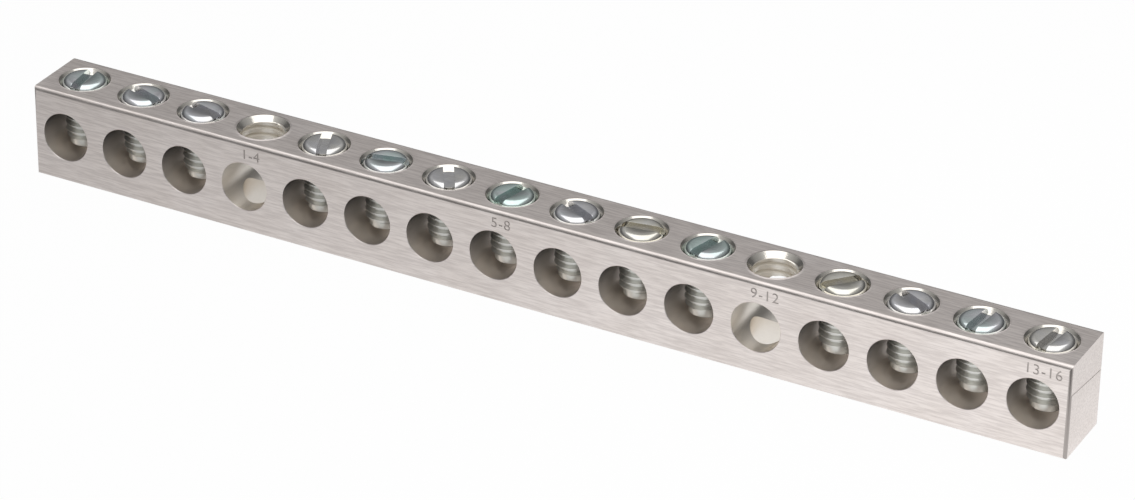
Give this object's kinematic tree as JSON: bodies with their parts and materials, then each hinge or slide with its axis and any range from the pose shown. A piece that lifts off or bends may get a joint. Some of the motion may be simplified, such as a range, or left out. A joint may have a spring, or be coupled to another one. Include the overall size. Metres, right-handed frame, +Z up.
{
  "type": "earth terminal bar",
  "caption": "Long square-section metal bar with a row of wire holes through it, each with its own slotted clamping screw from above, and two mounting positions.",
  "frame": {"origin": "middle of the bar's bottom face", "axes": "+X along the bar, -Y out of the face that the wires enter, +Z up through the clamping screws"},
  "size_m": [0.1272, 0.0086, 0.0114],
  "materials": {
    "bar_aluminium": "as extruded, fine lengthwise lines",
    "screw_zinc": "bright zinc plate"
  },
  "bodies": {
    "bar": {"bar": "bar_aluminium"},
    "terminal_screw_01": {"terminal_screw_01": "screw_zinc"},
    "terminal_screw_02": {"terminal_screw_02": "screw_zinc"},
    "terminal_screw_03": {"terminal_screw_03": "screw_zinc"},
    "terminal_screw_05": {"terminal_screw_05": "screw_zinc"},
    "terminal_screw_06": {"terminal_screw_06": "screw_zinc"},
    "terminal_screw_07": {"terminal_screw_07": "screw_zinc"},
    "terminal_screw_08": {"terminal_screw_08": "screw_zinc"},
    "terminal_screw_09": {"terminal_screw_09": "screw_zinc"},
    "terminal_screw_10": {"terminal_screw_10": "screw_zinc"},
    "terminal_screw_11": {"terminal_screw_11": "screw_zinc"},
    "terminal_screw_13": {"terminal_screw_13": "screw_zinc"},
    "terminal_screw_14": {"terminal_screw_14": "screw_zinc"},
    "terminal_screw_15": {"terminal_screw_15": "screw_zinc"},
    "terminal_screw_16": {"terminal_screw_16": "screw_zinc"}
  },
  "joints": [
    {"name": "screw_01_travel", "type": "slide", "parent": "bar", "child": "terminal_screw_01", "axis": [0, 0, 1], "range_m": [0, 0.0051]},
    {"name": "screw_02_travel", "type": "slide", "parent": "bar", "child": "terminal_screw_02", "axis": [0, 0, 1], "range_m": [0, 0.0051]},
    {"name": "screw_03_travel", "type": "slide", "parent": "bar", "child": "terminal_screw_03", "axis": [0, 0, 1], "range_m": [0, 0.0051]},
    {"name": "screw_05_travel", "type": "slide", "parent": "bar", "child": "terminal_screw_05", "axis": [0, 0, 1], "range_m": [0, 0.0051]},
    {"name": "screw_06_travel", "type": "slide", "parent": "bar", "child": "terminal_screw_06", "axis": [0, 0, 1], "range_m": [0, 0.0051]},
    {"name": "screw_07_travel", "type": "slide", "parent": "bar", "child": "terminal_screw_07", "axis": [0, 0, 1], "range_m": [0, 0.0051]},
    {"name": "screw_08_travel", "type": "slide", "parent": "bar", "child": "terminal_screw_08", "axis": [0, 0, 1], "range_m": [0, 0.0051]},
    {"name": "screw_09_travel", "type": "slide", "parent": "bar", "child": "terminal_screw_09", "axis": [0, 0, 1], "range_m": [0, 0.0051]},
    {"name": "screw_10_travel", "type": "slide", "parent": "bar", "child": "terminal_screw_10", "axis": [0, 0, 1], "range_m": [0, 0.0051]},
    {"name": "screw_11_travel", "type": "slide", "parent": "bar", "child": "terminal_screw_11", "axis": [0, 0, 1], "range_m": [0, 0.0051]},
    {"name": "screw_13_travel", "type": "slide", "parent": "bar", "child": "terminal_screw_13", "axis": [0, 0, 1], "range_m": [0, 0.0051]},
    {"name": "screw_14_travel", "type": "slide", "parent": "bar", "child": "terminal_screw_14", "axis": [0, 0, 1], "range_m": [0, 0.0051]},
    {"name": "screw_15_travel", "type": "slide", "parent": "bar", "child": "terminal_screw_15", "axis": [0, 0, 1], "range_m": [0, 0.0051]},
    {"name": "screw_16_travel", "type": "slide", "parent": "bar", "child": "terminal_screw_16", "axis": [0, 0, 1], "range_m": [0, 0.0051]}
  ]
}
